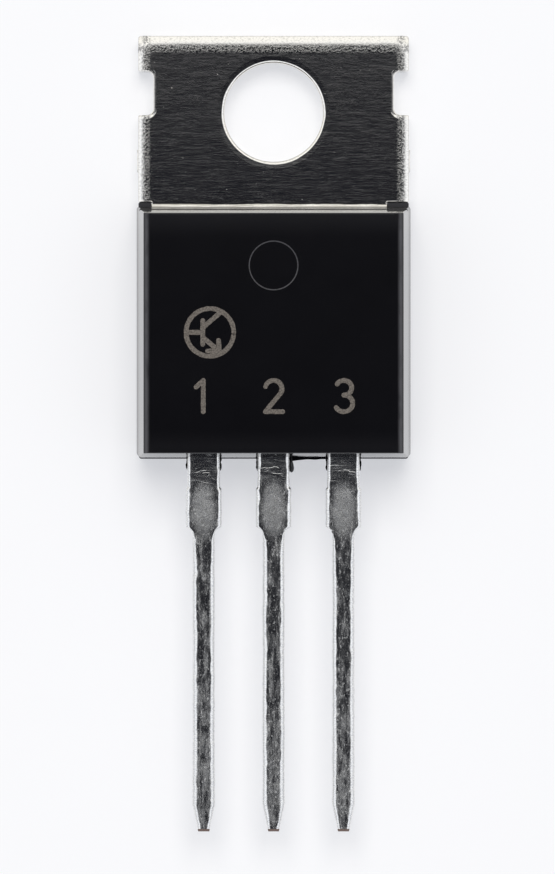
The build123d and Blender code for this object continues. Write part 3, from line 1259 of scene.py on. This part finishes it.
@dataclass
class MouldedBody:
    """The epoxy shell: drafted walls, softened edges, ejector mark, ears and flash."""

    half_width: float = 5.00
    top: float = -3.45
    end: float = -12.65
    height: float = 4.50
    side_parting: float = 1.30
    end_parting: float = 2.40
    draft: float = 5.5
    corner: float = 0.13
    ejector_radius: float = 0.88
    ejector_y: float = -5.66
    ejector_depth: float = 0.024
    side_edge: float = 0.24
    end_edge: float = 0.03
    edge_drop: float = 0.05
    parting_step: float = 0.022
    clearance: float = 0.012
    flash_inner: float = 0.555
    flash_outer: float = 0.585
    flash_thickness: float = 0.055
    flash_reach: float = 0.45
    flash_height: float = 0.34
    web: tuple[float, float] = (0.5, 2.05)
    web_peak: float = 0.62
    web_reach: tuple[float, float] = (0.025, 0.060)
    web_spread: float = 0.30
    drop_x: float = 0.655
    drop_reach: float = 0.50
    drop_half: tuple[float, float] = (0.035, 0.055)
    drop_level: float = 0.22
    drop_height: float = 0.14
    ear_gap: float = 0.015
    ear_edge: float = 0.014
    ear_sunk: float = 0.03
    front_sunk: float = 0.0075

    def section(self, z: float, insets: tuple[float, float], corner: float) -> Points:
        """One level loop of the shell: a rounded rectangle drawn in by the draft and by insets.

        Args:
            z: its height.
            insets: how far its left and right sides, and its top and lead end, lie further in.
            corner: radius of its corners.
        Returns:
            Its points.
        """
        slope = math.tan(math.radians(self.draft))
        side = self.half_width - abs(z - self.side_parting) * slope - insets[0]
        top = self.top - abs(z - self.side_parting) * slope - insets[1]
        end = self.end + abs(z - self.end_parting) * slope + insets[1]
        corners = np.array([(side, end), (side, top), (-side, top), (-side, end)])
        return lifted(rounded_polygon(corners, corner, 8, np.array([90, 96, 90, 96])), z)

    def shell(self) -> Piece:
        """The shell as one grid that closes at the centre of the ejector mark.

        Its rows climb the walls, round the front edge, cross the front face towards the mark and
        step down into it. The front edge is a quarter of an ellipse, wider along the sides than
        along the ends, and the front swells a little with smooth noise.

        Returns:
            The shell, still solid where the stamping goes.
        """
        rows = [self.section(0.0, (0.05, 0.05), 0.10), self.section(0.04, (0.0, 0.0), self.corner)]
        lower = (0.5, 1.0, 1.285, 1.3, 1.315, 1.6, 2.0, 2.36, 2.385, 2.4)
        step_top = 2.404
        for z in (*lower, step_top, 2.415, 2.44, 2.8, 3.4, 4.0, 4.3):
            step = self.parting_step * max(0.0, 1 - (z - step_top)) if z > self.end_parting else 0.0
            rows.append(self.section(z, (0.0, step), self.corner * (1 - 0.7 * z / self.height)))
        for turn in np.linspace(0, 1, 12) * math.pi / 2:
            share = 1 - math.cos(turn)
            z = self.height - self.edge_drop * (1 - math.sin(turn))
            rows.append(self.section(z, (self.side_edge * share, self.end_edge * share), 0.035))
        rim = rows[-1]
        angle = np.arctan2(rim[:, 1] - self.ejector_y, rim[:, 0])
        circle = np.column_stack([np.cos(angle), np.sin(angle)])
        mark = np.array([0.0, self.ejector_y])
        near = mark + circle * (self.ejector_radius + 0.05)
        for share in np.linspace(0, 1, 34)[1:]:
            rows.append(lifted(rim[:, :2] * (1 - share) + near * share, self.height))
        foot = self.height - self.ejector_depth
        levels = ((0.02, self.height), (0.012, self.height), (-0.018, foot), (-0.03, foot))
        for offset, z in (*levels, (-0.05, foot), (-0.4, foot), (-0.86, foot)):
            rows.append(lifted(mark + circle * (self.ejector_radius + offset), z))
        rows = np.array(rows)
        x, y = rows[..., 0], rows[..., 1]
        swell = 0.0025 * lattice_noise(x, y, 1.7, 41) + 0.0007 * lattice_noise(x, y, 0.6, 42)
        rows[..., 2] += np.where(rows[..., 2] > self.height - 0.2, swell - self.front_sunk, 0)
        return new_piece("moulded_body_epoxy", *closed_tube(rows), 30.0)

    def pad_cutter(self, tab: Tab) -> Piece:
        """What the stamping takes out of the shell's back: the pad with its coined lock step.

        Args:
            tab: the stamping.
        Returns:
            The cutter.
        """
        loops = []
        for inner in (tab.step_width, 0.0):
            half, end = tab.pad_half - inner, tab.pad_end + inner
            right = [(half, end), (half, tab.waist_end), (tab.waist_right, tab.waist_end)]
            left = [(tab.waist_left, tab.waist_end), (-half, tab.waist_end), (-half, end)]
            reach = [(tab.waist_right, -3.0), (tab.waist_left, -3.0)]
            loops.append(np.array(right + reach + left))
        narrow, wide = loops
        rows = [
            lifted(narrow, -0.5),
            lifted(narrow, tab.step_height),
            lifted(wide, tab.step_height + 0.001),
            lifted(wide, tab.thickness - 0.02),
        ]
        return new_piece("pad_cutter", *closed_tube(np.array(rows)))

    def ears(self, tab: Tab) -> list[Piece]:
        """Small blocks with softened edges for the tab's shoulders.

        Args:
            tab: the stamping.
        Returns:
            The two ears.
        """
        half, foot, top = tab.width / 2 - self.ear_gap, self.top - 0.6, tab.shoulder - self.clearance
        edge, level = self.ear_edge, tab.thickness - self.ear_sunk
        sides = ((-half, tab.waist_left - self.clearance), (tab.waist_right + self.clearance, half))
        found = []
        for left, right in sides:
            corners = np.array([(right, foot), (right, top), (left, top), (left, foot)])
            rows = [
                lifted(rounded_polygon(inset_corners(corners, inset), 0.04, 5, 4), z)
                for inset, z in ((0.0, 0.01), (0.0, level), (edge, level + edge))
            ]
            found.append(new_piece("ear", *closed_tube(np.array(rows))))
        return found

    def slivers(self, lead: Lead) -> list[Piece]:
        """Thin bars of flash on both sides of each lead, fading towards its tip and ragged.

        Args:
            lead: any lead, for the sizes that all three share.
        Returns:
            The six slivers.
        """
        found = []
        y = np.linspace(self.end + 0.1, self.end - self.flash_reach, 26)
        fade = np.clip((y - y[-1]) / 0.12, 0, 1) ** 0.5
        top = lead.back + self.flash_height + 0.02 * lattice_noise(y, 0.0, 0.15, 66)
        for which in LeadPart:
            for side in (-1, 1):
                ragged = 1 + 0.35 * lattice_noise(y, float(side), 0.09, 60 + which.value)
                thick = self.flash_thickness * fade * ragged
                inner = which.value * lead.pitch + side * self.flash_inner
                outer = which.value * lead.pitch + side * (self.flash_outer + thick)
                rows = bar(y, 1, (inner, outer), (lead.back + 0.02, top))
                found.append(new_piece("flash", *closed_tube(rows[:, ::side])))
        return found

    def flash(self, lead: Lead) -> list[Piece]:
        """The slivers beside the leads, and a web and a drop to the right of the middle one.

        The web reaches out furthest near its peak, in a bell curve. The drop is a tube that swells
        by a quarter of a sine wave and ends in a quarter of an ellipse.

        Args:
            lead: any lead, for the sizes that all three share.
        Returns:
            All pieces of flash.
        """
        x = np.linspace(*self.web, 60)
        least, more = self.web_reach
        reach = least + more * np.exp(-(((x - self.web_peak) / self.web_spread) ** 2))
        reach += 0.012 * lattice_noise(x, 0.0, 0.25, 70)
        web = bar(x, 0, (self.end + 0.1, self.end - reach), (lead.back + 0.01, lead.back + 0.18))
        y = np.linspace(self.end + 0.05, self.end - self.drop_reach, 32)
        t = np.clip((self.end - y) / self.drop_reach, 0, 1)
        least, more = self.drop_half
        half = least + more * np.sin(math.pi / 2 * np.clip((t - 0.15) / 0.55, 0, 1))
        half = half * np.sqrt(np.clip(1 - (np.clip(t - 0.7, 0, 1) / 0.3) ** 2, 0.0009, 1))
        around = np.linspace(0, 2 * math.pi, 16, endpoint=False)
        sides = self.drop_x + half[:, None] * np.cos(around)
        levels = lead.back + self.drop_level + self.drop_height * np.sin(around)
        drop = np.stack(np.broadcast_arrays(sides, y[:, None], levels), -1)
        rest = [new_piece("flash", *closed_tube(rows)) for rows in (web[:, ::-1], drop)]
        return self.slivers(lead) + rest


# Marks


@dataclass
class FrontMarks:
    """Laser marks on the front: the circuit symbol for this kind of part, and the lead numbers."""

    height: float = 4.50
    sunk: float = 0.0035
    foot: float = 0.03
    stroke: float = 0.17
    symbol_centre: tuple[float, float] = (-2.30, -8.08)
    symbol_radius: float = 0.86
    number_y: float = -10.38
    number_height: float = 1.30
    pitch: float = 2.54

    def stroke_mesh(self, line: Points) -> tuple[Points, list]:
        """A ribbon of one stroke's width along a line, with round ends.

        Each point is moved half a stroke to both sides along the line's normal.

        Args:
            line: the points of its middle line.
        Returns:
            The ribbon's points and faces.
        """
        along = np.gradient(line, axis=0)
        along /= np.linalg.norm(along, axis=1)[:, None]
        normal = np.stack([-along[:, 1], along[:, 0]], 1) * self.stroke / 2
        ragged = 1 + 0.10 * lattice_noise(line[:, 0], line[:, 1], 0.07, 81)[:, None]
        left, right = line + normal * ragged, line - normal * ragged
        turn = np.linspace(0, math.pi, 9)[1:-1, None]
        caps = []
        for end, ahead in ((line[-1], along[-1]), (line[0], -along[0])):
            side = np.array([ahead[1], -ahead[0]])
            caps.append(end + (np.cos(turn) * side + np.sin(turn) * ahead) * self.stroke / 2)
        outline = np.concatenate([right, caps[0], left[::-1], caps[1]])
        rows = [lifted(outline, self.height - down) for down in (self.foot, self.sunk)]
        return closed_tube(np.array(rows))

    @staticmethod
    def straight(start: tuple[float, float], end: tuple[float, float]) -> Points:
        """Points along a straight stroke."""
        t = np.linspace(0, 1, 24)[:, None]
        return np.array(start) * (1 - t) + np.array(end) * t

    @staticmethod
    def bow(centre: tuple[float, float], radius: tuple[float, float], start: float, end: float) -> Points:
        """Points along part of an ellipse, from one angle in degrees to another."""
        angle = np.radians(np.linspace(start, end, 56))
        return np.array(centre) + np.stack([np.cos(angle) * radius[0], np.sin(angle) * radius[1]], 1)

    def symbol(self) -> list[Points]:
        """Draw the circuit symbol: ring, base bar, three lines and the emitter's arrow.

        Returns:
            Its strokes.
        """
        x, y = self.symbol_centre
        r = self.symbol_radius
        bar_x, out_x, tip_x = x - 0.30 * r, x + 0.42 * r, x + 0.40 * r
        return [
            self.bow((x, y), (r, r), 0, 352),
            self.straight((bar_x, y - 0.5 * r), (bar_x, y + 0.5 * r)),
            self.straight((x - 1.0 * r, y), (bar_x, y)),
            self.straight((bar_x, y + 0.2 * r), (out_x, y + 0.82 * r)),
            self.straight((bar_x, y - 0.2 * r), (out_x, y - 0.82 * r)),
            self.straight((x + 0.36 * r, y - 0.34 * r), (tip_x, y - 0.78 * r)),
            self.straight((x - 0.10 * r, y - 0.78 * r), (tip_x, y - 0.80 * r)),
        ]

    def numbers(self) -> list[Points]:
        """Draw the figures 1, 2 and 3, each over its lead.

        Returns:
            Their strokes.
        """
        h = self.number_height - self.stroke
        left, middle, right = -self.pitch, 0.0, self.pitch
        foot, top = self.number_y - h / 2, self.number_y + h / 2
        wide, upper, lower = 0.30, 0.265, (h - 0.53) / 2
        return [
            self.straight((left, foot), (left, top)),
            self.straight((left - 0.26, top - 0.24), (left, top)),
            self.bow((middle, top - wide), (wide, wide), 165, -40),
            self.straight((middle + wide * 0.77, top - wide * 1.64), (middle - wide, foot)),
            self.straight((middle - wide, foot), (middle + wide * 1.1, foot)),
            self.bow((right, top - upper), (0.28, upper), 150, -90),
            self.bow((right, foot + lower), (0.32, lower), 90, -150),
        ]

    def build(self) -> list[Piece]:
        """Make the marks. Each stroke lies a hair above the last, so that none flickers.

        Returns:
            The circuit symbol and the figures.
        """
        pieces = []
        for name, strokes in (("circuit_symbol_mark", self.symbol()), ("lead_number_marks", self.numbers())):
            points, faces = np.zeros((0, 3)), []
            for k, line in enumerate(strokes):
                more, more_faces = self.stroke_mesh(line)
                more[:, 2] += 0.0004 * k
                faces += [[i + len(points) for i in face] for face in more_faces]
                points = np.concatenate([points, more])
            pieces.append(new_piece(name, points, faces))
        return pieces


# Scene


@dataclass
class Studio:
    """A white table, a broad pale surround that is dark straight overhead, a lamp and the camera."""

    camera_x: float = 0.142
    camera_y: float = -11.86
    distance: float = 300.0
    focus_height: float = 2.5
    view_height: float = 31.79
    sensor: float = 36.0
    dark_half: tuple[float, float] = (0.42, 0.31)
    dark_y: float = -0.135
    dark_edge: tuple[float, float] = (0.50, 1.08)
    dark_power: float = 1.5
    horizon_light: float = 0.72
    high_light: float = 1.12
    fill_light: tuple[float, float] = (0.10, 0.80)
    lamp_distance: float = 0.75
    lamp_tilt: float = 20.0
    lamp_size: tuple[float, float] = (0.40, 0.36)
    lamp_radiance: float = 7.0
    lamp_colour: tuple[float, float, float] = (1.0, 0.97, 0.93)
    floor_size: float = 2000.0
    floor_share: float = 0.50
    floor_glow: float = 0.51
    paper_colour: str = "#F4F5F8"
    glow_colour: str = "#F7F9FF"
    sky_colour: str = "#F8FAFF"
    warm_colour: str = "#FDFCF9"
    dark_colour: str = "#14151B"

    def build(self) -> None:
        """Make the floor, the world, the lamp and the camera."""
        self.floor()
        self.world()
        self.lamp()
        self.camera()

    def floor(self) -> None:
        """A white table top under the part.

        To the camera and in reflections it shows almost white, part of it glowing by itself, so
        the shadows on it stay soft.
        """
        size = self.floor_size
        corners = np.array([(size, -size, 0), (size, size, 0), (-size, size, 0), (-size, -size, 0)])
        floor = new_piece("table_top", corners, [[0, 1, 2, 3]])
        material = bpy.data.materials.new("white_table_top")
        paint = Graph(material)
        paper = paint.add("BsdfDiffuse", (linear(self.paper_colour),))
        lit = paint.add("BsdfDiffuse", ((self.floor_share,) * 3 + (1,),))
        glow = paint.add("Emission", (linear(self.glow_colour), self.floor_glow))
        bright = paint.add("AddShader", (lit, glow))
        paint.add("OutputMaterial", (paint.add("MixShader", (paint.seen(), paper, bright)),))
        floor.data.materials.append(material)

    def world(self) -> None:
        """Pale light from all round, but for a dark oval overhead where the camera stands.

        A direction divided by its height is a place on a level plane above the part. There the dark
        oval has its centre and two half widths, and the light rises across its soft edge. The light
        is warmer beyond the tab, and weaker near the horizon than high up. What lights a matt
        surface is weaker than what the camera and a gloss see.
        """
        world = bpy.data.worlds.new("surround")
        bpy.context.scene.world = world
        sky = Graph(world)
        x, y, z = sky.add("SeparateXYZ", (sky.add("TexCoord", out="Generated"),)).node.outputs
        height = sky.add("Math", (z, 0.01), operation="MAXIMUM")
        across, along = (sky.add("Math", (axis, height), operation="DIVIDE") for axis in (x, y))
        far = sky.oval(across, along, self.dark_y, self.dark_half)
        far = sky.add("Math", (far,), operation="SQRT")
        share = sky.add("MapRange", (far, *self.dark_edge), **EASED)
        share = sky.add("Math", (share, self.dark_power), operation="POWER")
        warm = sky.add("MapRange", (y, 0.0, 0.30), **EASED)
        pale = sky.tint(self.sky_colour, (warm, self.warm_colour))
        shown = sky.add("MapRange", (z, 0.15, 0.75, self.horizon_light, self.high_light), **EASED)
        fill = sky.add("MapRange", (z, 0.15, 0.95, *self.fill_light), **EASED)
        strength = sky.add("MapRange", (sky.seen(), 0.0, 1.0, fill, shown), **EASED)
        light = sky.add("Background", (sky.tint(self.dark_colour, (share, pale)), strength))
        sky.add("OutputWorld", (light,))

    def lamp(self) -> None:
        """One broad lamp almost overhead. Gloss shows the surround and not the lamp itself."""
        lamp = bpy.data.lights.new("window", "AREA")
        lamp.shape = "RECTANGLE"
        lamp.size, lamp.size_y = self.lamp_size
        lamp.energy = self.lamp_radiance * math.pi * lamp.size * lamp.size_y
        lamp.color = self.lamp_colour
        holder = bpy.data.objects.new("window", lamp)
        bpy.context.scene.collection.objects.link(holder)
        tilt = math.radians(self.lamp_tilt)
        holder.location = (0.0, math.sin(tilt) * self.lamp_distance, math.cos(tilt) * self.lamp_distance)
        holder.rotation_euler = (-tilt, 0, 0)
        holder.visible_glossy = False

    def camera(self) -> None:
        """A long lens that looks straight down."""
        data = bpy.data.cameras.new("camera")
        data.sensor_fit = "VERTICAL"
        data.sensor_height = self.sensor
        data.lens = self.sensor * self.distance / self.view_height
        data.clip_start, data.clip_end = 0.01, 10.0
        camera = bpy.data.objects.new("camera", data)
        bpy.context.scene.collection.objects.link(camera)
        camera.location = (self.camera_x * MM, self.camera_y * MM, (self.distance + self.focus_height) * MM)
        bpy.context.scene.camera = camera


def dress_sealed_pieces() -> None:
    """Give the pieces inside the epoxy their finishes."""
    solder = SealedFinish("soft_solder", "#8C8C8F", 1.0, 0.45, 0.3).build()
    silicon = SealedFinish("polished_silicon", "#4C4D55", 0.6, 0.12, 0.8).build()
    film = SealedFinish("sputtered_aluminium", "#D9DADC", 1.0, 0.25, 0.05).build()
    wire = SealedFinish("drawn_aluminium_wire", "#D2D3D6", 1.0, 0.3, 0.08).build()
    finishes = {
        "die_solder": solder,
        "transistor_die": silicon,
        "emitter_metal": film,
        "base_metal": film,
        "emitter_bond_wire": wire,
        "base_bond_wire": wire,
    }
    for node, material in finishes.items():
        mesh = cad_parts[node].data
        mesh.materials.clear()
        mesh.materials.append(material)
        LOG.info("%s wears %s", node, material.name)


def place(piece: Piece, material: Material, slot: str, *nodes: str) -> None:
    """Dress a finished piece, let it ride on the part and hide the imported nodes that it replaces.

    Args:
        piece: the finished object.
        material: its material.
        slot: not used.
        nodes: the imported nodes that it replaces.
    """
    piece.data.materials.clear()
    piece.data.materials.append(material)
    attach(piece, BODY)
    if nodes:
        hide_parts(*nodes)
    LOG.info("%s: %d faces", piece.name, len(piece.data.polygons))


def main() -> None:
    """Build the part piece by piece, then the studio round it."""
    logging.basicConfig(level=logging.INFO, format="%(name)s: %(message)s")
    bpy.context.scene.view_settings.view_transform = "Standard"
    tab = Tab()
    body = MouldedBody()
    plating = RolledPlating().build()
    lead_plating = LeadPlating().build()
    copper = CutCopper().build()

    plate = tab.plate()
    combine(plate, tab.groove(), "DIFFERENCE", tab.sharp_above)
    combine(plate, tab.lock_step(), "DIFFERENCE", tab.sharp_above)
    combine(plate, tab.nibs(), "UNION", tab.sharp_above)
    keep_flat(plate.data, tab.thickness)
    place(plate, plating, "nickel_plated_copper", "tab_and_collector_lead")

    nodes = {
        LeadPart.BASE: "base_lead",
        LeadPart.EMITTER: "emitter_lead",
        LeadPart.COLLECTOR: "tab_and_collector_lead",
    }
    for which, node in nodes.items():
        lead = Lead(which)
        piece = lead.build()
        if which is not LeadPart.COLLECTOR:
            combine(piece, lead.post(), "UNION")
        place(piece, lead_plating, "nickel_plated_copper", node)
        paint_cut_ends(piece, lead.body_end - lead.length + lead.cut_length, copper)

    epoxy = MouldedEpoxy().build()
    shell = body.shell()
    combine(shell, body.pad_cutter(tab), "DIFFERENCE")
    for extra in body.ears(tab) + body.flash(Lead(LeadPart.COLLECTOR)):
        combine(shell, extra, "UNION")
    place(shell, epoxy, "black_epoxy", "moulded_body")

    mark = LaserMark().build()
    for piece in FrontMarks().build():
        place(piece, mark, "black_epoxy")

    dress_sealed_pieces()
    Studio().build()


if __name__ == "__main__":
    main()
